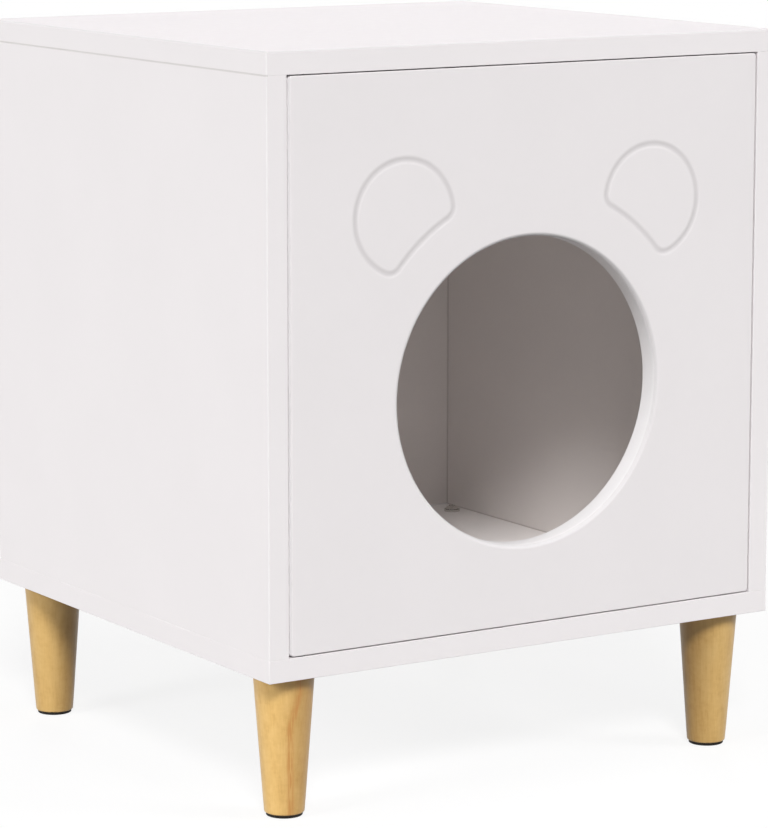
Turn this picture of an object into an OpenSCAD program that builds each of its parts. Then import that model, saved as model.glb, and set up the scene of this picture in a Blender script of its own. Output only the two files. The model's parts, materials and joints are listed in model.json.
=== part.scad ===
// Cat house: a white board cabinet on four turned legs, with an inset door
// that has a round entry hole and two routed ear outlines.
// The front faces -Y, +X is to the right, and Z = 0 is the floor it stands on.

/* [Cabinet] */
// Width of the cabinet over its side panels
cabinet_w = 400; // [360:5:700]
// Depth of the cabinet from its front edges to its rear edges
cabinet_d = 380; // [300:5:600]
// Height of the cabinet without its legs
cabinet_h = 402; // [380:2:700]
// Thickness of the top, bottom and side boards
board_t = 15; // [15:1:22]
// Thickness of the back panel
back_t = 3; // [2.5:0.5:5]
// Gap between the back panel and the cabinet's outline
back_margin = 1; // [0.5:0.25:3]
// Radius that softens the open edges of the boards
edge_r = 1.5; // [0.75:0.25:2.5]
// Radius that softens the edges where two boards meet
seam_r = 0.5; // [0.25:0.25:1]

/* [Door] */
// Thickness of the door
door_t = 15; // [14:1:18]
// Gap all round the door
door_gap = 1.5; // [1.25:0.25:3]
// Radius of the door's four corners, seen from the front
door_corner_r = 2; // [1:0.5:6]
// Distance of the door's pivot axis behind the front
pivot_back = 5.5; // [5:0.25:6.5]
// Least gap between the side panel and the door's edge as the door turns
swing_play = 0.4; // [0.2:0.1:0.6]

/* [Entry hole] */
// Diameter of the entry hole
hole_d = 205; // [150:1:225]
// Height of the hole's centre above the cabinet's underside
hole_z = 171.5; // [140:0.5:190]
// Radius that rounds the hole's front rim
hole_front_r = 3; // [1:0.5:5]
// Radius that rounds the hole's rear rim
hole_back_r = 1; // [0.5:0.5:3]

/* [Ears] */
// Radius of the round side of an ear outline
ear_r = 37.5; // [30:0.5:42]
// Distance of an ear's centre from the middle of the door
ear_x = 97.5; // [90:0.5:110]
// Height of an ear's centre above the hole's centre
ear_rise = 120.5; // [110:0.5:135]
// Distance from the hole's wall to the side of the ear that faces it
ear_gap = 32.5; // [26:0.5:38]
// Radius of an ear's two corners
ear_corner_r = 9; // [5:0.5:12]
// Width of the routed line
groove_w = 3; // [1.5:0.25:5]
// Depth of the routed line
groove_depth = 1.5; // [0.75:0.25:4]

/* [Legs] */
// Length of a wooden leg without its pad
leg_h = 94; // [60:1:200]
// Diameter of a leg where it meets the cabinet
leg_top_d = 40.5; // [34:0.5:50]
// Diameter of a leg at its foot
leg_foot_d = 26.5; // [22:0.5:34]
// Chamfer round a leg's foot
leg_chamfer = 1; // [0.5:0.25:2]
// Distance of a leg's axis from the cabinet's side
leg_inset_x = 28; // [27:0.5:60]
// Distance of a leg's axis from the cabinet's front or rear
leg_inset_y = 29; // [26:0.5:60]
// Diameter of a foot pad
pad_d = 24; // [18:0.5:26]
// Thickness of a foot pad
pad_t = 2; // [1:0.5:5]

/* [Leg bolts] */
// Diameter of a leg bolt's shank
bolt_d = 6; // [5:0.5:8]
// Length of a leg bolt under its head
bolt_l = 30; // [28:1:40]
// Diameter of a leg bolt's domed head
bolt_head_d = 10.5; // [10:0.5:14]
// Height of a leg bolt's domed head
bolt_head_h = 3.3; // [2.8:0.1:4.5]
// Width across the flats of a leg bolt's hexagon socket
bolt_socket = 4; // [3:0.5:5]
// Diameter of a leg bolt's washer
washer_d = 12; // [11:0.5:18]
// Thickness of a leg bolt's washer
washer_t = 1.6; // [1:0.2:2.4]
// Diameter of the threaded insert in a leg
insert_d = 10; // [9:0.5:12]
// Length of the threaded insert in a leg
insert_l = 15; // [12:1:20]

/* [Board joints] */
// Distance of the cam bolts from the front and rear of the side panels
cam_inset = 60; // [50:1:90]
// Distance of the dowels from the front and rear of the side panels
dowel_inset = 110; // [100:1:140]
// Distance of the bottom screws from the front and rear of the side panels
screw_inset = 75; // [60:1:90]
// Diameter of a wooden dowel
dowel_d = 8; // [6:1:8]
// Length of a wooden dowel
dowel_l = 30; // [26:1:40]
// Depth that a dowel goes into the top or bottom board
dowel_in_board = 10; // [8:1:12]
// Diameter of a cam lock
cam_d = 15; // [15:1:18]
// Thickness of a cam lock
cam_t = 12; // [11.5:0.1:12.5]
// Distance of a cam lock's centre below the top board
cam_drop = 24; // [20:1:34]
// Diameter of a cam bolt's stem
cam_stem_d = 5; // [4:0.5:6]
// Diameter of a cam bolt's head
cam_head_d = 7; // [6.5:0.5:7]
// Depth that a cam bolt goes into the top board
cam_in_board = 11; // [8:1:12]
// Diameter of a cover cap
cap_d = 17; // [17:0.5:20]
// Thickness of a cover cap
cap_t = 1.2; // [0.8:0.2:2]
// Shank diameter of a bottom screw
long_screw_d = 6.4; // [5:0.2:7]
// Head diameter of a bottom screw
long_screw_head_d = 10; // [9:0.5:11]
// Length of a bottom screw
long_screw_l = 50; // [40:1:70]
// Number of screws down each side of the back panel
back_screws_a_side = 4; // [2:1:6]
// Distance of the first and last back screw from the panel's ends
back_screw_end = 30; // [15:1:60]
// Shank diameter of a back screw
back_screw_d = 3; // [2.5:0.25:3.5]
// Length of a back screw
back_screw_l = 16; // [12:1:25]
// Depth of a back screw's sunk head
back_screw_sink = 1.5; // [1:0.25:2]

/* [Pivots] */
// Diameter of a pivot pin
pin_d = 4; // [3:0.25:4.5]
// Depth that a pivot pin is pressed into the door
pin_in_door = 20; // [14:1:30]
// Depth that a pivot pin reaches into its bush
pin_in_bush = 8; // [5:0.5:9]
// Outer diameter of a bush's barrel
bush_d = 7; // [6:0.25:7.5]
// Length of a bush's barrel
bush_l = 10; // [10:0.5:12]
// Diameter of a bush's flange
bush_flange_d = 9; // [8:0.25:10]
// Gap over the top bush's flange, which lets the door be hung
lift_play = 0.5; // [0.3:0.1:0.8]

/* [Magnetic catch] */
// Width of the catch's case
catch_w = 30; // [24:1:45]
// Depth of the catch's case, front to back
catch_depth = 14; // [12:1:20]
// Height of the catch's case
catch_h = 14; // [12:1:20]
// Length of each of the catch's two screw ears
catch_ear_w = 9; // [8:0.5:12]
// Thickness of the catch's screw ears
catch_ear_t = 3; // [2:0.5:4]
// Distance of the catch's middle from the right side panel
catch_inset = 42; // [38:1:90]
// Thickness of each pole plate
pole_t = 1.2; // [0.8:0.2:2]
// Height of the magnet between the pole plates
magnet_h = 5; // [4:0.5:7]
// Distance that the pole plates stand out of the case
pole_reach = 1; // [0.5:0.25:2]
// Thickness of the strike plate on the door
strike_t = 1.2; // [1:0.2:2]
// Gap between the strike plate and the pole plates
catch_play = 0.2; // [0.1:0.1:0.6]
// Shank diameter of the catch's and strike's screws
small_screw_d = 3; // [2.5:0.25:3.5]
// Length of the catch's and strike's screws under their heads
small_screw_l = 11; // [8:1:12]

/* [Hidden] */
$fn = 96;

// Radial play of a part that is pushed or screwed into its hole and stays there
fit_play = 0.05;
// Radial running play of a pivot pin in its bush
run_play = 0.05;
// Radial play of a fastener in a hole that it only passes through
pass_play = 0.3;
// Space left at the blind end of a hole
end_play = 0.5;
// Extra length that lets a cutter leave the surface cleanly
over = 1;

front_y = -cabinet_d / 2;
rear_y = cabinet_d / 2;
side_x = cabinet_w / 2;
base_z = pad_t + leg_h;
floor_z = base_z + board_t;
top_z = base_z + cabinet_h;
ceiling_z = top_z - board_t;
side_h = ceiling_z - floor_z;
side_d = cabinet_d - back_t;
side_mid_x = side_x - board_t / 2;

door_w = cabinet_w - 2 * board_t - 2 * door_gap;
door_h = side_h - 2 * door_gap;
door_low_z = floor_z + door_gap;
door_high_z = ceiling_z - door_gap;
door_mid_z = (floor_z + ceiling_z) / 2;

// The pivot's distance from the door's edge: the front corner, rounded by edge_r,
// turns past the side panel with swing_play to spare.
corner_back = pivot_back - edge_r;
corner_room = door_gap - swing_play;
pivot_in = edge_r + (corner_back * corner_back - corner_room * corner_room) / (2 * corner_room);
pivot_x = -door_w / 2 + pivot_in;
pivot_y = front_y + pivot_back;

hole_r = hole_d / 2;
hole_centre = [0, base_z + hole_z];
ear_cut_r = hole_r + ear_gap;

leg_x = side_x - leg_inset_x;
leg_y = rear_y - leg_inset_y;
bolt_reach = bolt_l - washer_t - board_t;

catch_x = side_x - board_t - catch_inset;
catch_front_y = front_y + door_t + strike_t + catch_play;
catch_case_y = catch_front_y + pole_reach;
pole_w = catch_w - 2 * pole_t;
magnet_w = pole_w - 2 * pole_t;
magnet_depth = catch_depth - 2 * pole_t;
catch_mid_z = ceiling_z - catch_h / 2;
catch_screw_x = (catch_w + catch_ear_w) / 2;
catch_screw_y = catch_case_y + catch_depth / 2;
strike_w = pole_w;
strike_h = magnet_h + 2 * pole_t + 4;
strike_screw_x = strike_w / 2 - 2 * small_screw_d;
small_head_d = 2 * small_screw_d;
small_head_h = 0.6 * small_screw_d;

function unit(v) = v / norm(v);

// The point where two circles meet, on the left (side = 1) or right (side = -1)
// of the line from the first centre to the second.
function circles_meet(centre_a, r_a, centre_b, r_b, side) =
    let (gap = norm(centre_b - centre_a))
    let (along = (r_a * r_a - r_b * r_b + gap * gap) / (2 * gap))
    let (across = sqrt(r_a * r_a - along * along))
    let (u = unit(centre_b - centre_a))
    centre_a + along * u + side * across * [-u[1], u[0]];

// A rectangle about the origin with round corners.
// corner lists the radii at lower left, lower right, upper right and upper left.
module soft_rect(w, h, corner) {
    difference() {
        square([w, h], center = true);
        for (i = [0 : 3]) {
            sx = (i == 1 || i == 2) ? 1 : -1;
            sy = (i > 1) ? 1 : -1;
            translate([sx * (w / 2 - corner[i]), sy * (h / 2 - corner[i])])
                difference() {
                    translate([sx > 0 ? 0 : -corner[i] - over, sy > 0 ? 0 : -corner[i] - over])
                        square(corner[i] + over);
                    circle(corner[i]);
                }
        }
    }
}

// A block about the origin whose edges are rounded by three outlines:
// seen along X (Y and Z), along Y (X and Z) and along Z (X and Y).
module soft_block(size, along_x, along_y, along_z) {
    intersection() {
        rotate([90, 0, 90])
            linear_extrude(size[0], center = true) soft_rect(size[1], size[2], along_x);
        rotate([90, 0, 0])
            linear_extrude(size[1], center = true) soft_rect(size[0], size[2], along_y);
        linear_extrude(size[2], center = true) soft_rect(size[0], size[1], along_z);
    }
}

// A flat shape drawn in X and Z, made solid between two depths behind the front.
module from_front(near, far) {
    translate([0, front_y + far, 0])
        rotate([90, 0, 0])
            linear_extrude(far - near) children();
}

// Copies for the left and right side of the cabinet.
module both_sides() {
    for (side = [-1, 1]) translate([side * side_mid_x, 0, 0]) children();
}

// Copies at one distance from the front and from the rear of the side panels.
module front_and_rear(inset) {
    for (y = [front_y + inset, rear_y - inset]) translate([0, y, 0]) children();
}

module four_legs() {
    for (x = [-leg_x, leg_x], y = [-leg_y, leg_y]) translate([x, y, 0]) children();
}

module hex_socket(across_flats, depth) {
    cylinder(d = across_flats / cos(30), h = depth, $fn = 6);
}

// A pan-head screw that points down, its head resting on Z = 0.
module pan_screw(d, l, head_d, head_h) {
    difference() {
        union() {
            cylinder(d = head_d, h = head_h);
            translate([0, 0, -l + d / 2]) cylinder(d = d, h = l - d / 2 + head_h / 2);
            translate([0, 0, -l]) cylinder(d1 = d / 4, d2 = d, h = d / 2);
        }
        for (a = [0, 90])
            rotate([0, 0, a])
                translate([-head_d / 3, -head_d / 14, head_h / 2])
                    cube([head_d / 1.5, head_d / 7, head_h]);
    }
}

module screw_hole(d, l) {
    translate([0, 0, -l - end_play]) cylinder(d = d + 2 * fit_play, h = l + end_play + over);
}

// Holes in a horizontal board for the dowels of both sides, from joint height z.
module dowel_holes(z, depth) {
    both_sides()
        front_and_rear(dowel_inset)
            translate([0, 0, z]) cylinder(d = dowel_d + 2 * fit_play, h = depth);
}

module top_board() {
    color("white") difference() {
        translate([0, 0, top_z - board_t / 2])
            soft_block([cabinet_w, cabinet_d, board_t],
                [seam_r, seam_r, edge_r, edge_r],
                [seam_r, seam_r, edge_r, edge_r],
                [edge_r, edge_r, edge_r, edge_r]);
        dowel_holes(ceiling_z - over, dowel_in_board + end_play + over);
        both_sides()
            front_and_rear(cam_inset)
                translate([0, 0, ceiling_z - over])
                    cylinder(d = cam_stem_d + 2 * fit_play, h = cam_in_board + end_play + over);
        translate([pivot_x, pivot_y, ceiling_z - over])
            cylinder(d = bush_d + 2 * fit_play, h = bush_l + over);
        for (side = [-1, 1])
            translate([catch_x + side * catch_screw_x, catch_screw_y, ceiling_z - catch_ear_t])
                rotate([180, 0, 0]) screw_hole(small_screw_d, small_screw_l);
    }
}

module bottom_board() {
    color("white") difference() {
        translate([0, 0, base_z + board_t / 2])
            soft_block([cabinet_w, cabinet_d, board_t],
                [edge_r, edge_r, seam_r, seam_r],
                [edge_r, edge_r, seam_r, seam_r],
                [edge_r, edge_r, edge_r, edge_r]);
        dowel_holes(floor_z - dowel_in_board - end_play, dowel_in_board + end_play + over);
        both_sides()
            front_and_rear(screw_inset)
                translate([0, 0, base_z]) {
                    translate([0, 0, -over])
                        cylinder(d = long_screw_d + 2 * fit_play, h = board_t + 2 * over);
                    long_screw_head(fit_play);
                }
        four_legs()
            translate([0, 0, base_z - over])
                cylinder(d = bolt_d + 2 * pass_play, h = board_t + 2 * over);
        translate([pivot_x, pivot_y, floor_z - bush_l])
            cylinder(d = bush_d + 2 * fit_play, h = bush_l + over);
    }
}

// The right-hand side panel; the left one is its mirror image.
module side_panel() {
    difference() {
        translate([side_mid_x, front_y + side_d / 2, (floor_z + ceiling_z) / 2])
            soft_block([board_t, side_d, side_h],
                [seam_r, seam_r, seam_r, seam_r],
                [seam_r, seam_r, seam_r, seam_r],
                [edge_r, edge_r, seam_r, seam_r]);
        dowel_in_side = dowel_l - dowel_in_board + end_play;
        translate([side_mid_x, 0, 0]) {
            front_and_rear(dowel_inset) {
                translate([0, 0, floor_z - over])
                    cylinder(d = dowel_d + 2 * fit_play, h = dowel_in_side + over);
                translate([0, 0, ceiling_z - dowel_in_side])
                    cylinder(d = dowel_d + 2 * fit_play, h = dowel_in_side + over);
            }
            front_and_rear(screw_inset)
                translate([0, 0, floor_z - over])
                    cylinder(d = long_screw_d + 2 * fit_play,
                        h = long_screw_l - board_t + end_play + over);
            front_and_rear(cam_inset) {
                translate([0, 0, ceiling_z - cam_drop])
                    cylinder(d = cam_head_d + 2 * pass_play, h = cam_drop + over);
                translate([-board_t / 2 - over, 0, ceiling_z - cam_drop])
                    rotate([0, 90, 0])
                        cylinder(d = cam_d + 2 * fit_play, h = cam_t + over);
            }
        }
        back_screw_places() screw_hole(back_screw_d, back_screw_l);
    }
}

module side_panel_left() {
    color("white") mirror([1, 0, 0]) side_panel();
}

module side_panel_right() {
    color("white") side_panel();
}

// A countersunk screw that points down, its flat head level with Z = 0.
module sunk_screw(d, l, sink) {
    tip = d / 2;
    difference() {
        union() {
            sunk_head(d, sink, 0);
            translate([0, 0, tip - l]) cylinder(d = d, h = l - tip);
            translate([0, 0, -l]) cylinder(d1 = d / 4, d2 = d, h = tip);
        }
        for (a = [0, 90])
            rotate([0, 0, a])
                cube([1.4 * (d / 2 + sink), (d / 2 + sink) / 3.5, 1.2 * sink], center = true);
    }
}

// The cone of a countersunk head, or with grow the hole that takes it.
module sunk_head(d, sink, grow) {
    translate([0, 0, -sink]) cylinder(r1 = d / 2 + grow, r2 = d / 2 + sink + grow, h = sink);
}

// Places of the right-hand back screws, level with the rear of the back panel.
module back_screw_places() {
    step = (side_h - 2 * back_screw_end) / (back_screws_a_side - 1);
    for (i = [0 : back_screws_a_side - 1])
        translate([side_mid_x, rear_y, floor_z + back_screw_end + i * step])
            rotate([-90, 0, 0]) children();
}

module both_screw_rows() {
    for (side = [0, 1]) mirror([side, 0, 0]) back_screw_places() children();
}

module back_panel() {
    color("white") difference() {
        translate([-side_x + back_margin, rear_y - back_t, floor_z + back_margin / 2])
            cube([cabinet_w - 2 * back_margin, back_t, side_h - back_margin]);
        both_screw_rows() {
            screw_hole(back_screw_d, back_screw_l);
            sunk_head(back_screw_d, back_screw_sink, fit_play);
        }
    }
}

// Profile of a leg turned about its axis, with its holes for the insert and bolt.
module leg() {
    top_r = leg_top_d / 2;
    foot_r = leg_foot_d / 2;
    difference() {
        rotate_extrude()
            polygon([[0, 0], [foot_r - leg_chamfer, 0], [foot_r, leg_chamfer],
                [top_r, leg_h], [0, leg_h]]);
        translate([0, 0, leg_h - insert_l])
            cylinder(d = insert_d + 2 * fit_play, h = insert_l + over);
        translate([0, 0, leg_h - max(bolt_reach, insert_l) - end_play])
            cylinder(d = bolt_d + 2 * pass_play, h = max(bolt_reach, insert_l) + over);
    }
}

module leg_at(x, y) {
    color("burlywood") translate([x, y, pad_t]) leg();
}

module leg_front_left() { leg_at(-leg_x, -leg_y); }
module leg_front_right() { leg_at(leg_x, -leg_y); }
module leg_rear_left() { leg_at(-leg_x, leg_y); }
module leg_rear_right() { leg_at(leg_x, leg_y); }

module pad_at(x, y) {
    color("black") translate([x, y, 0]) cylinder(d = pad_d, h = pad_t);
}

module foot_pad_front_left() { pad_at(-leg_x, -leg_y); }
module foot_pad_front_right() { pad_at(leg_x, -leg_y); }
module foot_pad_rear_left() { pad_at(-leg_x, leg_y); }
module foot_pad_rear_right() { pad_at(leg_x, leg_y); }

// Domed bolts, put in from the cabinet's floor and screwed into the legs.
module leg_bolts() {
    head_r = bolt_head_d / 2;
    dome_r = (head_r * head_r + bolt_head_h * bolt_head_h) / (2 * bolt_head_h);
    color("silver") four_legs() translate([0, 0, floor_z + washer_t])
        difference() {
            union() {
                intersection() {
                    cylinder(r = head_r, h = bolt_head_h);
                    translate([0, 0, bolt_head_h - dome_r]) sphere(dome_r);
                }
                translate([0, 0, -bolt_l]) cylinder(d = bolt_d, h = bolt_l + bolt_head_h / 4);
            }
            translate([0, 0, bolt_head_h / 3]) hex_socket(bolt_socket, bolt_head_h);
        }
}

module leg_washers() {
    color("silver") four_legs() translate([0, 0, floor_z])
        difference() {
            cylinder(d = washer_d, h = washer_t);
            translate([0, 0, -over]) cylinder(d = bolt_d + 2 * fit_play, h = washer_t + 2 * over);
        }
}

module leg_inserts() {
    color("goldenrod") four_legs() translate([0, 0, base_z - insert_l])
        difference() {
            cylinder(d = insert_d, h = insert_l);
            translate([0, 0, -over]) cylinder(d = bolt_d + 2 * fit_play, h = insert_l + 2 * over);
        }
}

// A dowel with chamfered ends, standing on Z = 0.
module dowel() {
    chamfer = dowel_d / 8;
    rotate_extrude()
        polygon([[0, 0], [dowel_d / 2 - chamfer, 0], [dowel_d / 2, chamfer],
            [dowel_d / 2, dowel_l - chamfer], [dowel_d / 2 - chamfer, dowel_l], [0, dowel_l]]);
}

module wood_dowels() {
    color("tan") both_sides() front_and_rear(dowel_inset) {
        translate([0, 0, floor_z - dowel_in_board]) dowel();
        translate([0, 0, ceiling_z + dowel_in_board - dowel_l]) dowel();
    }
}

// Cam bolts are screwed up into the top board; their heads hang into the cam locks.
module cam_bolts() {
    neck_h = cam_head_d / 2;
    color("silver") both_sides() front_and_rear(cam_inset) translate([0, 0, ceiling_z]) {
        translate([0, 0, -cam_drop]) cylinder(d = cam_stem_d, h = cam_drop + cam_in_board);
        translate([0, 0, -neck_h]) cylinder(d = cam_head_d, h = neck_h);
        translate([0, 0, -cam_drop]) cylinder(d = cam_head_d, h = neck_h);
    }
}

// Cam locks turn about X inside the side panels and hold the heads of the cam bolts.
module cam_locks() {
    pocket_r = cam_head_d / 2 + pass_play;
    color("lightgray")
        for (side = [0, 1]) mirror([side, 0, 0])
            translate([side_mid_x, 0, 0]) front_and_rear(cam_inset)
                translate([0, 0, ceiling_z - cam_drop])
                    difference() {
                        translate([-board_t / 2, 0, 0])
                            rotate([0, 90, 0]) cylinder(d = cam_d, h = cam_t);
                        cylinder(d = cam_stem_d + 2 * pass_play, h = cam_d);
                        translate([0, 0, -end_play]) cylinder(r = pocket_r, h = 2 * end_play + cam_head_d / 2);
                        cam_driver_slots(0);
                    }
}

// Crossed slots in a cam lock's face, smaller by inset for the cap's plug.
module cam_driver_slots(inset) {
    slot_l = cam_d / 2 - 2 * inset;
    slot_w = cam_d / 10 - 2 * inset;
    slot_depth = cam_t / 8 - inset;
    for (a = [0, 90])
        rotate([a, 0, 0])
            translate([-board_t / 2 + (slot_depth - over) / 2, 0, 0])
                cube([slot_depth + over, slot_w, slot_l], center = true);
}

module cam_caps() {
    color("white")
        for (side = [0, 1]) mirror([side, 0, 0])
            translate([side_mid_x, 0, 0]) front_and_rear(cam_inset)
                translate([0, 0, ceiling_z - cam_drop]) {
                    translate([-board_t / 2 - cap_t, 0, 0])
                        rotate([0, 90, 0]) cylinder(d1 = cap_d - cap_t, d2 = cap_d, h = cap_t);
                    cam_driver_slots(2 * fit_play);
                }
}

// The cone of a bottom screw's head, sunk flush in the underside at Z = 0.
module long_screw_head(grow) {
    sink = (long_screw_head_d - long_screw_d) / 2;
    cylinder(r1 = long_screw_head_d / 2 + grow, r2 = long_screw_d / 2 + grow, h = sink);
}

module bottom_screws() {
    tip = long_screw_d / 2;
    color("silver") both_sides() front_and_rear(screw_inset) translate([0, 0, base_z])
        difference() {
            union() {
                long_screw_head(0);
                cylinder(d = long_screw_d, h = long_screw_l - tip);
                translate([0, 0, long_screw_l - tip])
                    cylinder(d1 = long_screw_d, d2 = long_screw_d / 3, h = tip);
            }
            translate([0, 0, -over]) hex_socket(bolt_socket, over + long_screw_d / 2);
        }
}

module back_screws() {
    color("silver") both_screw_rows() sunk_screw(back_screw_d, back_screw_l, back_screw_sink);
}

// A flanged bush whose flange stands on Z = 0 and whose barrel hangs below.
module bush(flange_t) {
    difference() {
        union() {
            cylinder(d = bush_flange_d, h = flange_t);
            translate([0, 0, -bush_l]) cylinder(d = bush_d, h = bush_l + flange_t / 2);
        }
        translate([0, 0, -bush_l - over])
            cylinder(d = pin_d + 2 * run_play, h = bush_l + flange_t + 2 * over);
    }
}

module pivot_bush_bottom() {
    color("dimgray") translate([pivot_x, pivot_y, floor_z]) bush(door_gap);
}

module pivot_bush_top() {
    color("dimgray") translate([pivot_x, pivot_y, ceiling_z])
        mirror([0, 0, 1]) bush(door_gap - lift_play);
}

// A pivot pin that stands out of the door by the gap and its reach into the bush.
module pivot_pin() {
    chamfer = pin_d / 8;
    low = -pin_in_door;
    high = door_gap + pin_in_bush;
    rotate_extrude()
        polygon([[0, low], [pin_d / 2, low], [pin_d / 2, high - chamfer],
            [pin_d / 2 - chamfer, high], [0, high]]);
}

module pivot_pin_top() {
    color("silver") translate([pivot_x, pivot_y, door_high_z]) pivot_pin();
}

module pivot_pin_bottom() {
    color("silver") translate([pivot_x, pivot_y, door_low_z]) mirror([0, 0, 1]) pivot_pin();
}

// The cutter of the entry hole, with its front and rear rims rounded over.
module hole_cutter() {
    translate([hole_centre[0], front_y, hole_centre[1]])
        rotate([-90, 0, 0])
            rotate_extrude() {
                translate([0, -over]) square([hole_r, door_t + 2 * over]);
                difference() {
                    translate([hole_r - over, -over])
                        square([hole_front_r + over, hole_front_r + over]);
                    translate([hole_r + hole_front_r, hole_front_r]) circle(hole_front_r);
                }
                difference() {
                    translate([hole_r - over, door_t - hole_back_r])
                        square([hole_back_r + over, hole_back_r + over]);
                    translate([hole_r + hole_back_r, door_t - hole_back_r]) circle(hole_back_r);
                }
            }
}

// One ear's outline, grown by a distance: a disc, cut by a circle about the hole's
// centre, with its two corners rounded. side is 1 for the right ear, -1 for the left.
module ear_shape(side, grow) {
    ear_centre = hole_centre + [side * ear_x, ear_rise];
    corners = [for (turn = [-1, 1])
        circles_meet(ear_centre, ear_r - ear_corner_r, hole_centre, ear_cut_r + ear_corner_r, turn)];
    difference() {
        translate(ear_centre) circle(ear_r + grow);
        translate(hole_centre) circle(ear_cut_r - grow);
        for (c = corners) {
            out = 4 * ear_corner_r * unit(c - ear_centre);
            down = 4 * ear_corner_r * unit(hole_centre - c);
            polygon([c, c + out, c + out + down, c + down]);
        }
    }
    for (c = corners) translate(c) circle(ear_corner_r + grow);
}

module door_panel() {
    r = edge_r;
    color("whitesmoke") difference() {
        translate([0, front_y + door_t / 2, door_mid_z])
            soft_block([door_w, door_t, door_h],
                [r, r, r, r],
                [door_corner_r, door_corner_r, door_corner_r, door_corner_r],
                [r, r, r, r]);
        hole_cutter();
        for (side = [-1, 1])
            difference() {
                from_front(-over, groove_depth) ear_shape(side, groove_w / 2);
                from_front(-2 * over, groove_depth + over) ear_shape(side, -groove_w / 2);
            }
        translate([pivot_x, pivot_y, door_high_z - pin_in_door])
            cylinder(d = pin_d + 2 * fit_play, h = pin_in_door + over);
        translate([pivot_x, pivot_y, door_low_z - over])
            cylinder(d = pin_d + 2 * fit_play, h = pin_in_door + over);
        strike_screw_places() screw_hole(small_screw_d, small_screw_l);
    }
}

// The catch under the top board: a case with two screw ears, open at the front.
module catch_case() {
    color("white") difference() {
        union() {
            translate([catch_x - catch_w / 2, catch_case_y, ceiling_z - catch_h])
                cube([catch_w, catch_depth, catch_h]);
            translate([catch_x - catch_w / 2 - catch_ear_w, catch_case_y, ceiling_z - catch_ear_t])
                cube([catch_w + 2 * catch_ear_w, catch_depth, catch_ear_t]);
        }
        translate([catch_x - pole_w / 2 - fit_play, catch_case_y - over,
                catch_mid_z - magnet_h / 2 - pole_t - fit_play])
            cube([pole_w + 2 * fit_play, magnet_depth + pole_t + over,
                magnet_h + 2 * pole_t + 2 * fit_play]);
        for (side = [-1, 1])
            translate([catch_x + side * catch_screw_x, catch_screw_y, ceiling_z - catch_ear_t - over])
                cylinder(d = small_screw_d + 2 * pass_play, h = catch_ear_t + 2 * over);
    }
}

module catch_magnet() {
    color("dimgray")
        translate([catch_x - magnet_w / 2, catch_case_y, catch_mid_z - magnet_h / 2])
            cube([magnet_w, magnet_depth, magnet_h]);
}

module catch_pole_plates() {
    color("silver")
        for (z = [catch_mid_z - magnet_h / 2 - pole_t, catch_mid_z + magnet_h / 2])
            translate([catch_x - pole_w / 2, catch_front_y, z])
                cube([pole_w, magnet_depth + pole_reach, pole_t]);
}

module catch_screws() {
    color("silver")
        for (side = [-1, 1])
            translate([catch_x + side * catch_screw_x, catch_screw_y, ceiling_z - catch_ear_t])
                rotate([180, 0, 0])
                    pan_screw(small_screw_d, small_screw_l, small_head_d, small_head_h);
}

// Places of the strike plate's screws, level with the plate's inner face.
module strike_screw_places() {
    for (side = [-1, 1])
        translate([catch_x + side * strike_screw_x, front_y + door_t + strike_t, catch_mid_z])
            rotate([-90, 0, 0]) children();
}

module strike_plate() {
    color("silver") difference() {
        translate([catch_x - strike_w / 2, front_y + door_t, catch_mid_z - strike_h / 2])
            cube([strike_w, strike_t, strike_h]);
        strike_screw_places() {
            screw_hole(small_screw_d, small_screw_l);
            sunk_head(small_screw_d, strike_t, fit_play);
        }
    }
}

module strike_screws() {
    color("silver") strike_screw_places() sunk_screw(small_screw_d, small_screw_l, strike_t);
}

top_board();
bottom_board();
side_panel_left();
side_panel_right();
back_panel();
leg_front_left();
leg_front_right();
leg_rear_left();
leg_rear_right();
foot_pad_front_left();
foot_pad_front_right();
foot_pad_rear_left();
foot_pad_rear_right();
leg_bolts();
leg_washers();
leg_inserts();
wood_dowels();
cam_bolts();
cam_locks();
cam_caps();
bottom_screws();
back_screws();
pivot_bush_top();
pivot_bush_bottom();
catch_case();
catch_magnet();
catch_pole_plates();
catch_screws();
door_panel();
pivot_pin_top();
pivot_pin_bottom();
strike_plate();
strike_screws();
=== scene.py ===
import json
import math

import bmesh
import bpy
import numpy as np
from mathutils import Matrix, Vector
from mathutils.geometry import delaunay_2d_cdt

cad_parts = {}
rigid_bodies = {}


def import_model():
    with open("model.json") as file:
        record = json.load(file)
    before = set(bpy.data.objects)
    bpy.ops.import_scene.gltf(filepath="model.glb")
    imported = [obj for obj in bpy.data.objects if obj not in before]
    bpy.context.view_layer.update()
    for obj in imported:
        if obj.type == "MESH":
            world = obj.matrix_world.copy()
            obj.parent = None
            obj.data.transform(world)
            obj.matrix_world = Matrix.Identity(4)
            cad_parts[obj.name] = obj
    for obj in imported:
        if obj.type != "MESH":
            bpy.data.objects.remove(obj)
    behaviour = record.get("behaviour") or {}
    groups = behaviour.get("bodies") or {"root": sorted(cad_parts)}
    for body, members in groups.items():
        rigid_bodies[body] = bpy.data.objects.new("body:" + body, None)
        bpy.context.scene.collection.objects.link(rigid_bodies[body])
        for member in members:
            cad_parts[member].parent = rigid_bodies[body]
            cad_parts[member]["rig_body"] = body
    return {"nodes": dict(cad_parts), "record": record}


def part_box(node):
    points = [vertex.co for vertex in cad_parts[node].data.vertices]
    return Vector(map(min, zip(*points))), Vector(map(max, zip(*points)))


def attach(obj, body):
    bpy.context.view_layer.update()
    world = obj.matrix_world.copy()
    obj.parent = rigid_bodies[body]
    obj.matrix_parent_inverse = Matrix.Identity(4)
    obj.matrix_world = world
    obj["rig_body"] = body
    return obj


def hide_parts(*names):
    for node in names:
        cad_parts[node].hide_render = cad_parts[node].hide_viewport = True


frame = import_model()
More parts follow.
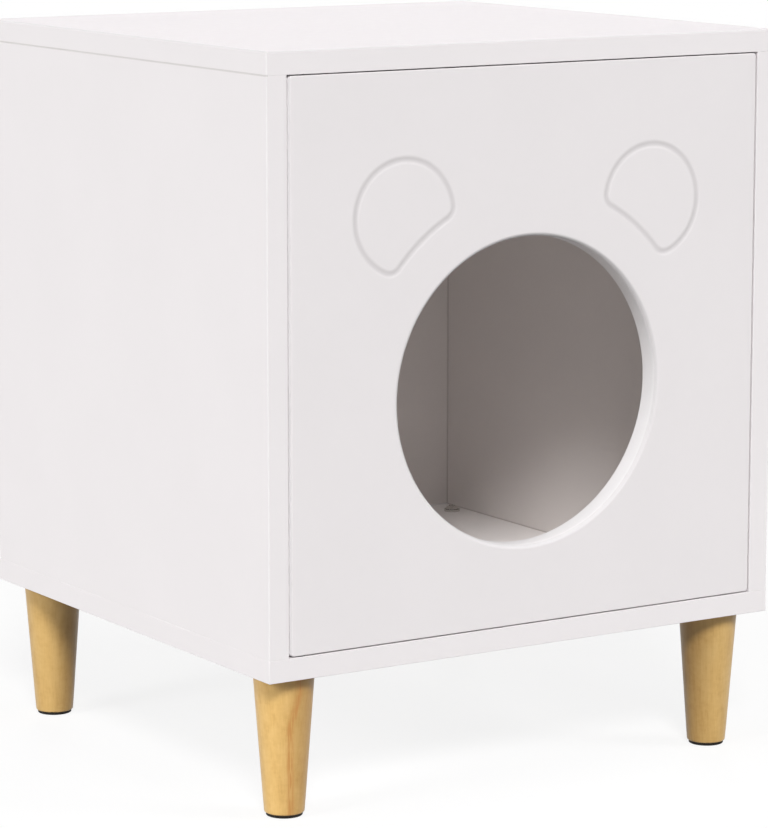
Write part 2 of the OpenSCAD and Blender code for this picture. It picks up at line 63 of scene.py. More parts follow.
nodes = frame["nodes"]
slots = {row["node"]: row["material_slot"] for row in frame["record"]["subparts"]}
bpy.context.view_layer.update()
print("frame loaded with", len(nodes), "nodes")


def pick(sockets, key):
    # a socket by its number, its identifier or its name
    if isinstance(key, int):
        return sockets[key]
    return next(s for s in sockets if key in (s.identifier, s.name))


def placeStops(ramp, stops):
    # gives the ramp these stops, pairs of place and colour
    while len(ramp.elements) < len(stops):
        ramp.elements.new(0.5)
    for element, (place, colour) in zip(ramp.elements, stops):
        element.position = place
        element.color = colour


class Wire:  # an output socket; its operators add Math nodes to the same tree
    def __init__(self, tree, socket):
        self.tree = tree
        self.socket = socket

    def node(self, kind, settings=None, values=None, out=0):
        # any node: its settings first, then its sockets' values or links
        made = self.tree.nodes.new(kind)
        for key, value in (settings or {}).items():
            if key == "stops":
                placeStops(made.color_ramp, value)
            else:
                setattr(made, key, value)
        for key, value in (values or {}).items():
            socket = pick(made.inputs, key)
            if isinstance(value, Wire):
                self.tree.links.new(value.socket, socket)
            else:
                socket.default_value = value
        return Wire(self.tree, pick(made.outputs, out))

    def other(self, key):
        # another output of the node that this one comes from
        return Wire(self.tree, pick(self.socket.node.outputs, key))

    def feed(self, shader, key):
        self.tree.links.new(self.socket, shader.inputs[key])

    def maths(self, operation, *others):
        values = dict(enumerate((self,) + others))
        return self.node("ShaderNodeMath", {"operation": operation}, values)

    def __add__(self, other):
        return self.maths("ADD", other)

    def __sub__(self, other):
        return self.maths("SUBTRACT", other)

    def __rsub__(self, other):
        return self.maths("MULTIPLY_ADD", -1.0, other)

    def __mul__(self, other):
        return self.maths("MULTIPLY", other)

    def __truediv__(self, other):
        return self.maths("DIVIDE", other)

    def __abs__(self):
        return self.maths("ABSOLUTE")

    __radd__ = __add__
    __rmul__ = __mul__

    def under(self, limit):
        # 1 below the limit, 0 above it
        return self.maths("LESS_THAN", limit)

    def over(self, limit):
        return self.maths("GREATER_THAN", limit)

    def rise(self, low, high):
        # 0 below low, 1 above high, and a soft S between them
        return self.node("ShaderNodeMapRange", {"interpolation_type": "SMOOTHSTEP"},
                         {"Value": self, "From Min": low, "From Max": high})

    def near(self, centre, core, reach):
        # 1 within core of the centre, fading to 0 at reach from it
        return 1 - abs(self - centre).rise(core, reach)

    def parts(self):
        # x, y and z of a place
        x = self.node("ShaderNodeSeparateXYZ", None, {"Vector": self}, "X")
        return x, x.other("Y"), x.other("Z")

    def spread(self, shift, scale=(1, 1, 1)):
        # a place scaled and then shifted
        return self.node("ShaderNodeMapping", None,
                         {"Vector": self, "Location": shift, "Scale": scale})

    def noise(self, size, detail=2.0, rough=0.5, shift=(0, 0, 0)):
        # smooth noise about 0.5, with lumps of the given sizes in metres
        scaled = self.spread(shift, tuple(1.0 / np.broadcast_to(size, 3)))
        return self.node("ShaderNodeTexNoise", {"noise_dimensions": "3D"},
                         {"Vector": scaled, "Scale": 1.0, "Detail": detail,
                          "Roughness": rough}, "Fac")

    def tint(self, low, high, blend="MIX"):
        # low's colour where this is 0, high's (or their product) where it is 1
        return self.node("ShaderNodeMix", {"data_type": "RGBA", "blend_type": blend},
                         {"Factor_Float": self, "A_Color": low, "B_Color": high},
                         "Result_Color")

    def bump(self, distance):
        # this height, in shares of distance metres, as a bent normal
        return self.node("ShaderNodeBump", None, {"Height": self, "Distance": distance})


def ink(colour, factor=1.0):
    # a 0-255 screen colour as the linear one that nodes take
    share = np.array(colour) / 255.0
    linear = np.where(share > 0.04045, ((share + 0.055) / 1.055) ** 2.4, share / 12.92)
    return tuple(np.clip(linear * factor, 0.0, 1.0)) + (1.0,)


def newFinish(name, constants):
    # a Principled material with the constants on the shader's own sockets
    finish = bpy.data.materials.new(name)
    finish.use_nodes = True
    tree = finish.node_tree
    tree.nodes.clear()
    shader = tree.nodes.new("ShaderNodeBsdfPrincipled")
    output = tree.nodes.new("ShaderNodeOutputMaterial")
    tree.links.new(shader.outputs["BSDF"], output.inputs["Surface"])
    for key, value in constants.items():
        shader.inputs[key].default_value = value
    place = Wire(tree, tree.nodes.new("ShaderNodeTexCoord").outputs["Object"])
    return finish, shader, place


cabinetPaint = {
    "colour": (243, 239, 240),  # satin white
    "drift": 0.015,             # share by which the tone drifts over a board
    "driftSize": 0.07,
    "driftFine": 9,             # times smaller are the lumps of the finer drift
    "driftShare": 0.75,         # the broad drift's part of the whole
    "driftSpan": (0.3, 0.7),    # the noise's values that are stretched from 0 to 1
    "rough": (0.42, 0.54),
    "roughSpan": (0.25, 0.75),
    "peelSize": 0.0016,         # the sprayed paint's orange peel
    "peelHeight": 0.00001,
    "inside": (238, 232, 229),  # painted shade: the cabin's side of the boards darker and warmer, as from light bouncing inside
    # painted light: the cabin's floor a little lighter than its walls
    "insideFloor": (249, 244, 242),
    "insideFrom": -0.172,       # where it starts, just behind the door
    "insideSpare": 0.0006,      # by which it reaches past the boards' faces
    "floorSpare": 0.0004,
    "corner": (216, 209, 205),  # the joints between the boards, seen from inside
    "cornerReach": (0.0003, 0.0012),
    "seam": (222, 218, 217),    # the hairline under the top board at the sides
    "seamHalf": (0.0003, 0.0008),
    "seamDeep": 0.0012,         # from the outer faces inwards
    "top": (236, 231, 233),     # painted shade: the top board's upper face a little darker, against the light from above
    "topReach": (0.0001, 0.0006),
    "ridge": (226, 222, 223),   # painted shade on the edges, to dim their highlight
    "ridgeReach": (0.00035, 0.0008),
    "ridgeUpright": 0.35,       # share of that on the upright edges
}
doorPaint = dict(
    cabinetPaint,
    colour=(239, 235, 236),
    line=(220, 216, 217),       # painted shade in the routed lines of the ears
    lineDeep=0.00038,
    lineWithin=0.003,
    lineFromHole=0.001,
    lineFromEdge=0.01,
    rim=(223, 220, 221),        # painted shade on the round of the entry hole, to dim its highlight
    rimFrom=(-0.0001, 0.0004),
    rimTo=(0.001, 0.0028),
    # painted light: the hole's wall whiter, to lift its shade
    wall=(253, 251, 252),
    wallFade=(-0.0001, 0.0004),
    edge=(254, 252, 253),       # painted light on the narrow side by the pivots, to lift the gap's shade
    edgeReach=0.0004,
    edgeFrom=(0.0005, 0.001),   # behind the door's face
)


def insideMask(place, look):
    # 1 on the faces that close the cabin: inside a box a little larger than the cabin; the
    #                                      cabin's painted shade goes there
    spare = look["insideSpare"]
    x, y, z = place.parts()
    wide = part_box("side_panel_right")[0].x + spare
    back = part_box("back_panel")[0].y + spare
    low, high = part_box("bottom_board")[1].z - spare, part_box("top_board")[0].z + spare
    return (abs(x).under(wide) * y.over(look["insideFrom"]) * y.under(back)
            * z.over(low) * z.under(high))


def insideFloorLightMask(place, look):
    # 1 on the cabin's floor, for its painted light
    x, y, z = place.parts()
    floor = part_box("bottom_board")[1].z
    return insideMask(place, look) * z.under(floor + look["floorSpare"])


def cornerMask(place, look):
    # 1 along the lines where two of the boards that close the cabin meet
    start, end = look["cornerReach"]
    x, y, z = place.parts()
    side = 1 - (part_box("side_panel_right")[0].x - abs(x)).rise(start, end)
    back = 1 - (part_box("back_panel")[0].y - y).rise(start, end)
    floor = 1 - (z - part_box("bottom_board")[1].z).rise(start, end)
    return insideMask(place, look) * (side * back + back * floor + floor * side)


def seamMask(place, look):
    # 1 at the height of the joint under the top board, on the outer faces of the sides
    x, y, z = place.parts()
    low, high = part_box("top_board")
    return z.near(low.z, *look["seamHalf"]) * abs(x).over(high.x - look["seamDeep"])


def topShadeMask(place, look):
    # 1 on the top board's upper face, fading out over its round edges, for its painted shade
    x, y, z = place.parts()
    return 1 - (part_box("top_board")[1].z - z).rise(*look["topReach"])


def ridgeShadeMask(place, look):
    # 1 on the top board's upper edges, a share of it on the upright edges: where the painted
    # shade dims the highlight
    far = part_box("top_board")[1]
    x, y, z = place.parts()
    side = 1 - (far.x - abs(x)).rise(*look["ridgeReach"])
    front = 1 - (far.y - abs(y)).rise(*look["ridgeReach"])
    top = 1 - (far.z - z).rise(*look["ridgeReach"])
    return (top * side.maths("MAXIMUM", front)
            + side * front * (1 - top) * look["ridgeUpright"])


def fromHole(x, z):
    # distance from the axis of the entry hole
    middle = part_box("bottom_board")[0].z + doorLook["holeHeight"]
    return (x * x + (z - middle) * (z - middle)).maths("SQRT")


def lineShadeMask(place, look):
    # grows with the depth below the door's face, between the hole and the door's edges; the
    # routed lines' painted shade
    low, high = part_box("door_panel")
    x, y, z = place.parts()
    hole = doorLook["holeRadius"] + doorLook["frontRim"]
    depth = y - low.y
    edge = look["lineFromEdge"]
    return (depth.rise(0.0, look["lineDeep"]) * depth.under(look["lineWithin"])
            * fromHole(x, z).over(hole + look["lineFromHole"])
            * abs(x).under(high.x - edge) * z.under(high.z - edge))


def edgeLightMask(place, look):
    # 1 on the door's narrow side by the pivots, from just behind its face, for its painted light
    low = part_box("door_panel")[0]
    x, y, z = place.parts()
    return x.under(low.x + look["edgeReach"]) * (y - low.y).rise(*look["edgeFrom"])


def rimShadeMask(place, look):
    # 1 on the round between the door's face and the wall of the entry hole, for its painted
    # shade
    x, y, z = place.parts()
    away = fromHole(x, z) - doorLook["holeRadius"]
    return away.rise(*look["rimFrom"]) * (1 - away.rise(*look["rimTo"]))


def wallLightMask(place, look):
    # 1 on the hole's wall, fading out over the start of its round rim, for its painted light
    x, y, z = place.parts()
    start, end = look["wallFade"]
    radius = doorLook["holeRadius"]
    return 1 - fromHole(x, z).rise(radius + start, radius + end)


def paintFinish(name, look, marks):
    # colour drifts with broad noise, then each mask lays its own colour on; the bump is peel
    finish, shader, place = newFinish(name, {"IOR": 1.46})
    broad = place.noise(look["driftSize"], detail=3.0)
    fine = place.noise(look["driftSize"] / look["driftFine"], detail=2.0)
    share, span = look["driftShare"], look["driftSpan"]
    drift = broad.rise(*span) * share + fine.rise(*span) * (1 - share)
    colour = drift.tint(ink(look["colour"], 1 - look["drift"]), ink(look["colour"]))
    for key, mask in marks.items():
        colour = mask(place, look).tint(colour, ink(look[key]))
    colour.feed(shader, "Base Color")
    low, high = look["rough"]
    (fine.rise(*look["roughSpan"]) * (high - low) + low).feed(shader, "Roughness")
    peel = place.noise(look["peelSize"], detail=1.0)
    peel.bump(look["peelHeight"]).feed(shader, "Normal")
    return finish


pineLook = {
    "tones": [(0.0, (244, 203, 131)), (0.5, (235, 192, 118)), (1.0, (220, 174, 101))],
    "depth": 0.92,              # the whole piece of wood lighter or darker
    "middle": 0.42,             # the tone where every part below is at its own middle
    "ringStep": 0.0042,         # width of one year's growth
    "ringRise": (0.2, 0.85),    # where in it the wood darkens and lightens again
    "ringFall": (0.88, 1.0),
    "ringMiddle": 0.4,
    "ringShare": 0.16,
    "pithAway": 0.07,           # from the leg's axis to where the tree's middle lay
    "pithTurn": 60,
    "wanderSize": (0.02, 0.02, 0.09),
    "wander": 0.006,            # by how much the rings wander sideways
    "lean": 0.012,              # and by how much they lean per metre of height
    "fibreSize": (0.0007, 0.0007, 0.03),
    "fibreShare": 0.9,
    "fleckSize": (0.0045, 0.0045, 0.0028),
    "fleckShare": 0.7,
    "cloudSize": (0.012, 0.012, 0.020),
    "cloudShare": 1.4,
    "noiseStep": 50,            # noise that one metre between two legs is apart
    "shadedSide": (214, 205, 192),   # painted shade: multiplies the tone on the side of the leg that lies in shade
    "shadedSideTurn": -32,
    "shadedSideReach": (-0.008, 0.018),
    "rough": (0.38, 0.5),
    "roughSpan": (0.3, 0.7),
    "grooveShare": 0.7,         # the fibre's part of the bump, the rest is the rings'
    "grooveDepth": 0.00003,
    "streakShare": 0.0,         # strength of a reddish resin streak
    "streak": (196, 138, 74),
    "streakTurn": -32.5,
    "streakPlace": (0.0044, 0.0104),  # from the leg's axis, low down and at the top
    "streakBend": (0.058, 0.088),
    "streakHalf": (0.0006, 0.0034),
    "streakWander": 0.002,
    "hairSize": (0.0009, 0.0009, 0.06),  # the fine lines that the streak is made of
    "hairSpan": (0.36, 0.62),
    "hairShare": 0.7,
}
pineOf = {
    "front_left": dict(pineLook, streakShare=0.85),
    "front_right": dict(pineLook, depth=0.77, pithTurn=130, shadedSideTurn=150),
    "rear_left": dict(pineLook, depth=0.77, pithTurn=-140, shadedSideTurn=-20),
    "rear_right": dict(pineLook, depth=0.85, pithTurn=20, shadedSideTurn=-45),
}


def pineFinish(name, centre, look):
    # growth rings (distance from the pith over the ring step, its fraction) with upright
    # fibre, small flecks and soft clouds make a share that picks the tone
    finish, shader, place = newFinish(name, {"IOR": 1.5, "Coat Weight": 0.2,
                                             "Coat Roughness": 0.3})
    local = place.spread((-centre[0], -centre[1], 0))
    x, y, z = local.parts()

    def along(degrees):
        # how far a place lies from the leg's axis towards the given turn
        angle = math.radians(degrees)
        return x * math.cos(angle) + y * math.sin(angle)

    seed = (centre[0] * look["noiseStep"], centre[1] * look["noiseStep"], 0)
    pith = math.radians(look["pithTurn"])
    fromX = x - look["pithAway"] * math.cos(pith)
    fromY = y - look["pithAway"] * math.sin(pith)
    warp = local.noise(look["wanderSize"], 1.0, shift=seed)
    reach = ((fromX * fromX + fromY * fromY).maths("SQRT") + warp * look["wander"]
             + z * look["lean"])
    share = (reach / look["ringStep"]).maths("FRACT")
    ring = share.rise(*look["ringRise"]) - share.rise(*look["ringFall"])
    fibre = local.noise(look["fibreSize"], 2.0, 0.6, seed)
    fleck = local.noise(look["fleckSize"], 2.0, 0.55, seed)
    cloud = local.noise(look["cloudSize"], 2.0, 0.5, seed)
    tone = ((ring - look["ringMiddle"]) * look["ringShare"]
            + (fibre - 0.5) * look["fibreShare"] + (fleck - 0.5) * look["fleckShare"]
            + (cloud - 0.5) * look["cloudShare"] + look["middle"])
    stops = [(place, ink(colour, look["depth"])) for place, colour in look["tones"]]
    wood = tone.node("ShaderNodeValToRGB", {"stops": stops}, {"Fac": tone}, "Color")
    # painted shade: the leg's side that lies in shade made darker
    shadedSide = along(look["shadedSideTurn"]).rise(*look["shadedSideReach"])
    wood = shadedSide.tint(wood, ink(look["shadedSide"]), "MULTIPLY")
    if look["streakShare"]:
        low, high = look["streakPlace"]
        middle = z.rise(*look["streakBend"]) * (high - low) + low
        hairs = local.noise(look["hairSize"], 1.0, shift=seed).rise(*look["hairSpan"])
        hairs = hairs * look["hairShare"] + (1 - look["hairShare"])
        streak = along(look["streakTurn"]) - middle + (warp - 0.5) * look["streakWander"]
        mask = streak.near(0.0, *look["streakHalf"]) * hairs
        wood = (mask * look["streakShare"]).tint(wood, ink(look["streak"]))
    wood.feed(shader, "Base Color")
    low, high = look["rough"]
    (fibre.rise(*look["roughSpan"]) * (high - low) + low).feed(shader, "Roughness")
    groove = fibre * look["grooveShare"] + ring * (1 - look["grooveShare"])
    groove.bump(look["grooveDepth"]).feed(shader, "Normal")
    return finish


hardware = {
    "plated_steel": {"colour": (214, 212, 208), "drift": 0.05, "size": 0.0005,
                     "rough": (0.16, 0.30), "height": 0.000004, "metal": 1.0},
    "brass": {"colour": (205, 172, 112), "drift": 0.08, "size": (0.0004, 0.0004, 0.00012),
              "rough": (0.25, 0.4), "height": 0.00001, "metal": 1.0},
    "zinc": {"colour": (176, 177, 179), "drift": 0.08, "size": 0.0007,
             "rough": (0.38, 0.55), "height": 0.00001, "metal": 1.0},
    "beech": {"colour": (206, 172, 130), "drift": 0.14, "size": (0.0005, 0.0005, 0.004),
              "rough": (0.6, 0.75), "height": 0.00003, "metal": 0.0},
    "white_plastic": {"colour": (232, 230, 228), "drift": 0.02, "size": 0.0004,
                      "rough": (0.45, 0.58), "height": 0.000006, "metal": 0.0},
    "grey_nylon": {"colour": (104, 104, 104), "drift": 0.06, "size": 0.0005,
                   "rough": (0.4, 0.52), "height": 0.000006, "metal": 0.0},
    "ferrite": {"colour": (66, 66, 69), "drift": 0.12, "size": 0.0003,
                "rough": (0.55, 0.7), "height": 0.00001, "metal": 0.0},
    "pad_rubber": {"colour": (30, 26, 23), "drift": 0.25, "size": 0.0004,
                   "rough": (0.8, 0.95), "height": 0.00004, "metal": 0.0},
}


grain = {
    "broad": 11.0,              # times larger are the lumps of the broad noise
    "fineShare": 0.6,           # the fine noise's part of the tone
    "fineSpan": (0.25, 0.75),
    "broadSpan": (0.3, 0.7),
    "roughSpan": (0.2, 0.8),
}


def grainFinish(name, look):
    # tone, roughness and bump all follow one fine noise; a broader one drifts the tone
    finish, shader, place = newFinish(name, {"Metallic": look["metal"]})
    fine = place.noise(look["size"], detail=3.0, rough=0.6)
    broad = place.noise(np.array(look["size"]) * grain["broad"], detail=2.0)
    tone = (fine.rise(*grain["fineSpan"]) * grain["fineShare"]
            + broad.rise(*grain["broadSpan"]) * (1 - grain["fineShare"]))
    tone.tint(ink(look["colour"], 1 - look["drift"]),
              ink(look["colour"], 1 + look["drift"])).feed(shader, "Base Color")
    low, high = look["rough"]
    (fine.rise(*grain["roughSpan"]) * (high - low) + low).feed(shader, "Roughness")
    fine.bump(look["height"]).feed(shader, "Normal")
    return finish


def gridFaces(rows, columns):
    # quads between neighbouring rows and columns; the last column joins the first
    row = np.arange(rows - 1)[:, None]
    here = np.arange(columns)[None, :]
    there = (here + 1) % columns
    low, high = row * columns, (row + 1) * columns
    return np.stack([low + here, low + there, high + there, high + here], -1).reshape(-1, 4)


# metres within which points count as one, an edge as no edge, a point as on a cut
mergeWithin = 2e-6
flatWithin = 1e-7
cutWithin = 1e-6


def tidied(mesh):
    # doubles merged, then faces turned outwards
    work = bmesh.new()
    work.from_mesh(mesh)
    bmesh.ops.remove_doubles(work, verts=work.verts, dist=mergeWithin)
    bmesh.ops.dissolve_degenerate(work, edges=work.edges, dist=flatWithin)
    bmesh.ops.recalc_face_normals(work, faces=work.faces)
    work.to_mesh(mesh)
    work.free()
    return mesh


def closedMesh(name, patches):
    # patches of points and faces, stacked, merged where they meet and turned outwards
    points = np.concatenate([patch[0].reshape(-1, 3) for patch in patches])
    faces = []
    before = 0
    for patchPoints, patchFaces in patches:
        faces += (np.asarray(patchFaces) + before).tolist()
        before += patchPoints.reshape(-1, 3).shape[0]
    mesh = bpy.data.meshes.new(name)
    mesh.from_pydata(points.tolist(), [], faces)
    return tidied(mesh)


def settle(mesh, name, node, finish, sharp=38):
    # the mesh as a finished piece that stands for a CAD node and rides on its body; edges
    # that turn by more than sharp degrees stay crisp
    mesh.shade_smooth()
    mesh.set_sharp_from_angle(angle=math.radians(sharp))
    mesh.materials.clear()
    mesh.materials.append(finish)
    piece = bpy.data.objects.new(name, mesh)
    bpy.context.scene.collection.objects.link(piece)
    weighted = piece.modifiers.new("evenShade", "WEIGHTED_NORMAL")
    weighted.keep_sharp = True
    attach(piece, nodes[node]["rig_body"])
    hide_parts(node)


def arc(centre, radius, start, end, steps):
    # points at an even pace on a circle, and their outward directions
    turn = np.linspace(start, end, steps)
    way = np.stack([np.cos(turn), np.sin(turn)], -1)
    return np.array(centre) + radius * way, way


def roundOver(centre, radius, start, end, steps):
    return arc(centre, radius, math.radians(start), math.radians(end), steps)[0].tolist()


def spun(name, profile, centre, steps):
    # surface of revolution: radius r and height z of the profile, turned about an upright axis
    r, z = np.array(profile).T
    turn = np.linspace(0, 2 * math.pi, steps, endpoint=False)
    points = np.stack([centre[0] + r[:, None] * np.cos(turn),
                       centre[1] + r[:, None] * np.sin(turn),
                       z[:, None] + 0 * turn], -1)
    return closedMesh(name, [(points, gridFaces(len(r), steps))])


doorLook = {
    "growSide": 0.00015,        # beyond the solid's edges, for a finer gap
    "growEnd": 0.0007,
    "roundSteps": 7,            # points on a quarter round
    "edgeRound": 0.0006,
    "turningRound": 0.0018,     # the rounder edge beside the pivots
    "cornerRound": 0.002,
    "holeRadius": 0.1025,
    "holeSteps": 240,
    "holeHeight": 0.1715,       # above the cabinet's underside
    "frontRim": 0.003,
    "backRim": 0.001,
    "earRadius": 0.0375,
    "earAside": 0.0975,         # an ear's centre from the door's middle
    "earAbove": 0.1205,         # an ear's centre above the hole's
    "earGap": 0.0325,           # from the hole's wall to the ear
    "earCorner": 0.009,
    "lineHalf": 0.0033,         # half the routed line's width with its soft lips
    "lineDepth": 0.00038,
    "lineSteps": 17,
}


def roundedBox(low, high, corner, steps=9):
    # outline of a rectangle with round corners, and its outward directions
    points, ways = [], []
    for i, (sx, sz) in enumerate([(1, 1), (-1, 1), (-1, -1), (1, -1)]):
        centre = (high[0] - corner if sx > 0 else low[0] + corner,
                  high[1] - corner if sz > 0 else low[1] + corner)
        p, w = arc(centre, corner, i * math.pi / 2, (i + 1) * math.pi / 2, steps)
        points.append(p)
        ways.append(w)
    return np.concatenate(points), np.concatenate(ways)


def earPath(look, holeCentre, side, steps=30):
    # four arcs: round side, corner, the side about the hole's centre, corner
    ear = np.array([holeCentre[0] + side * look["earAside"], holeCentre[1] + look["earAbove"]])
    cut = look["holeRadius"] + look["earGap"]
    inner, outer = look["earRadius"] - look["earCorner"], cut + look["earCorner"]
    gap = np.linalg.norm(ear - holeCentre)
    along = (inner ** 2 - outer ** 2 + gap ** 2) / (2 * gap)
    across = math.sqrt(inner ** 2 - along ** 2)
    toHole = (holeCentre - ear) / gap
    sideways = np.array([-toHole[1], toHole[0]])
    first = ear + along * toHole + across * sideways
    last = ear + along * toHole - across * sideways

    def stretch(start, end, turnLeft):
        # the angles of two directions, the end moved by a whole turn where the arc needs it
        start, end = math.atan2(start[1], start[0]), math.atan2(end[1], end[0])
        if turnLeft and end < start:
            end += 2 * math.pi
        if not turnLeft and end > start:
            end -= 2 * math.pi
        return start, end

    parts = [
        arc(ear, look["earRadius"], *stretch(first - ear, last - ear, True), 4 * steps),
        arc(last, look["earCorner"], *stretch(last - ear, holeCentre - last, True), steps // 2),
        arc(holeCentre, cut, *stretch(last - holeCentre, first - holeCentre, False), steps),
        arc(first, look["earCorner"], *stretch(holeCentre - first, first - ear, True),
            steps // 2),
    ]
    parts[2] = (parts[2][0], -parts[2][1])
    return (np.concatenate([p[:-1] for p, w in parts]),
            np.concatenate([w[:-1] for p, w in parts]))


def carried(path, ways, out, back):
    # a profile (outwards, back) carried round a closed path drawn in X and Z; the profile's
    # rows may differ from point to point
    flat = path + (out[..., None] * ways)
    points = np.stack([flat[..., 0], back + 0 * flat[..., 0], flat[..., 1]], -1)
    return points, gridFaces(len(out), len(path))


def oddInside(points, loops):
    # whether a point lies inside an odd number of the closed loops, by counting crossed edges
    start = np.concatenate(loops)
    end = np.concatenate([np.roll(loop, -1, 0) for loop in loops])
    x, z = points[:, :1], points[:, 1:]
    above = (start[:, 1] > z) != (end[:, 1] > z)
    rise = np.where(above, end[:, 1] - start[:, 1], 1.0)
    cross = start[:, 0] + (end[:, 0] - start[:, 0]) * (z - start[:, 1]) / rise
    return (above & (x < cross)).sum(1) % 2 == 1


def flatPatch(loops, depth):
    # a flat face between closed loops, the odd regions filled
    points = np.concatenate(loops)
    edges = []
    before = 0
    for loop in loops:
        here = np.arange(len(loop)) + before
        edges += np.stack([here, np.roll(here, -1)], -1).tolist()
        before += len(loop)
    verts, _, faces, _, _, _ = delaunay_2d_cdt(points.tolist(), edges, [], 1, flatWithin)
    flat = np.array([tuple(v) for v in verts])
    faces = np.array(faces)
    faces = faces[oddInside(flat[faces].mean(1), loops)]
    return np.stack([flat[:, 0], np.full(len(flat), depth), flat[:, 1]], -1), faces


def doorPatches(look):
    # rounded edge, hole wall, both faces and the two routed lines
    low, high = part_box("door_panel")
    front, back = low.y, high.y
    side, end = look["growSide"], look["growEnd"]
    holeCentre = np.array([(low.x + high.x) / 2,
                           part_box("bottom_board")[0].z + look["holeHeight"]])
    outline, outWays = roundedBox((low.x - side, low.z - end),
                                  (high.x + side, high.z + end), look["cornerRound"])
    quarter = np.linspace(0, math.pi / 2, look["roundSteps"])[:, None]
    left = np.clip(-outWays[:, 0], 0, 1)
    r = look["edgeRound"] + (look["turningRound"] - look["edgeRound"]) * left
    edgeOut = np.concatenate([r * (np.sin(quarter) - 1), r * (np.cos(quarter) - 1)])
    edgeBack = np.concatenate([front + r * (1 - np.cos(quarter)),
                               back - r * (1 - np.sin(quarter))])
    hole, holeWays = arc(holeCentre, look["holeRadius"], 0, 2 * math.pi,
                         look["holeSteps"] + 1)
    hole, holeWays = hole[:-1], holeWays[:-1]
    f, b = look["frontRim"], look["backRim"]
    wallOut = np.concatenate([f * (1 - np.sin(quarter)), b * (1 - np.cos(quarter))])
    wallBack = np.concatenate([front + f * (1 - np.cos(quarter)),
                               back - b * (1 - np.sin(quarter))])
    w, d = look["lineHalf"], look["lineDepth"]
    across = np.linspace(-w, w, look["lineSteps"])[:, None]
    lineBack = front + d * (1 + np.cos(math.pi * across / w)) / 2
    ears = [earPath(look, holeCentre, side) for side in (-1, 1)]
    inset = outline - r[:, None] * outWays
    frontLoops = [inset, hole + f * holeWays]
    for path, ways in ears:
        frontLoops += [path + w * ways, path - w * ways]
    patches = [
        carried(outline, outWays, edgeOut, edgeBack),
        carried(hole, holeWays, wallOut, wallBack),
        flatPatch(frontLoops, front),
        flatPatch([inset, hole + b * holeWays], back),
    ]
    return patches + [carried(path, ways, across, lineBack) for path, ways in ears]


legLook = {
    "footRadius": 0.01325,
    "topRound": 0.0004,
    "footRound": 0.0012,
    "boltBore": 0.0033,
    "insertBore": 0.00505,
    "boreSpare": 0.0005,        # depth of the bore below the insert
    "taperRows": 9,
    "topSteps": 5,
    "footSteps": 7,
    "turnSteps": 96,
}
padLook = {
    "round": 0.0005,
    "roundSteps": 5,
    "turnSteps": 72,
}


def legProfile(low, high, look):
    # from the bore's floor up through the insert's seat, over the rim and down the taper
    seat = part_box("leg_inserts")[0].z
    end = seat - look["boreSpare"]
    top, foot = (high.x - low.x) / 2, look["footRadius"]
    t, f = look["topRound"], look["footRound"]
    taper = [(top + (foot - top) * s, high.z + (low.z - high.z) * s)
             for s in np.linspace(0.1, 0.9, look["taperRows"])]
    return ([(0, end), (look["boltBore"], end), (look["boltBore"], seat),
             (look["insertBore"], seat), (look["insertBore"], high.z)]
            + roundOver((top - t, high.z - t), t, 90, 0, look["topSteps"]) + taper
            + roundOver((foot - f, low.z + f), f, 0, -90, look["footSteps"])
            + [(0, low.z)])


def padProfile(low, high, look):
    # a flat disc with round edges
    radius, r, steps = (high.x - low.x) / 2, look["round"], look["roundSteps"]
    return ([(0, high.z)] + roundOver((radius - r, high.z - r), r, 90, 0, steps)
            + roundOver((radius - r, low.z + r), r, 0, -90, steps) + [(0, low.z)])


finishes = {slot: grainFinish(slot, look) for slot, look in hardware.items()}
# inside, insideFloor, top and ridge lay painted shade and light; corner and seam are the joints
finishes["white_board"] = paintFinish("cabinetPaint", cabinetPaint,
                                      {"inside": insideMask, "insideFloor": insideFloorLightMask,
                                       "corner": cornerMask, "seam": seamMask,
                                       "top": topShadeMask, "ridge": ridgeShadeMask})
print("finishes made:", len(finishes))

# line and rim lay painted shade, wall and edge painted light
doorFinish = paintFinish("doorPaint", doorPaint,
                         {"line": lineShadeMask, "rim": rimShadeMask, "wall": wallLightMask,
                          "edge": edgeLightMask})
settle(closedMesh("door_leaf", doorPatches(doorLook)), "door_leaf", "door_panel", doorFinish)
print("door made")

for place, look in pineOf.items():
    low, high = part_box("leg_" + place)
    centre = ((low.x + high.x) / 2, (low.y + high.y) / 2)
    leg = spun("leg", legProfile(low, high, legLook), centre, legLook["turnSteps"])
    settle(leg, "turned_leg_" + place, "leg_" + place, pineFinish("pine_" + place, centre, look))
    low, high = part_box("foot_pad_" + place)
    pad = spun("pad", padProfile(low, high, padLook), centre, padLook["turnSteps"])
    settle(pad, "pad_" + place, "foot_pad_" + place, finishes["pad_rubber"])
print("legs and pads made")

boardLook = {
    "solidRound": 0.0015,       # radius of the solids' outer edges
    "solidSpare": 0.00001,      # a point this much further in still counts to the edge
    "paintedRound": 0.0008,     # radius that shows
    "lowestRound": 0.0003,      # and the one along the bottom board's lower edges
    "cornerCut": 0.0011,        # how far in from each side of a board its corners' shading ends
    "sharp": 32,                # edges that turn by more degrees than this stay crisp
    "crisp": ("top_board", "bottom_board", "side_panel_left", "side_panel_right"),
}


def pointsOf(mesh):
    points = np.empty(len(mesh.vertices) * 3, np.float32)
    mesh.vertices.foreach_get("co", points)
    return points.reshape(-1, 3)


def moveTo(mesh, points):
    mesh.vertices.foreach_set("co", points.ravel())
    mesh.update()


def crisper(mesh, look, lowRound):
    # a point that lies within the solid's edge radius of two outer faces keeps its share of
    # the way to them over the smaller radius, which is lowRound near the lower face
    points = pointsOf(mesh)
    toLow, toHigh = points - points.min(0), points.max(0) - points
    reach = look["solidRound"] + look["solidSpare"]
    nearLow, nearHigh = toLow < reach, toHigh < reach
    edge = (nearLow | nearHigh).sum(1, keepdims=True) > 1
    radius = np.where(nearLow[:, 2:], lowRound, look["paintedRound"])
    pull = edge * (1 - radius / look["solidRound"])
    moveTo(mesh, points + pull * (np.where(nearHigh, toHigh, 0) - np.where(nearLow, toLow, 0)))


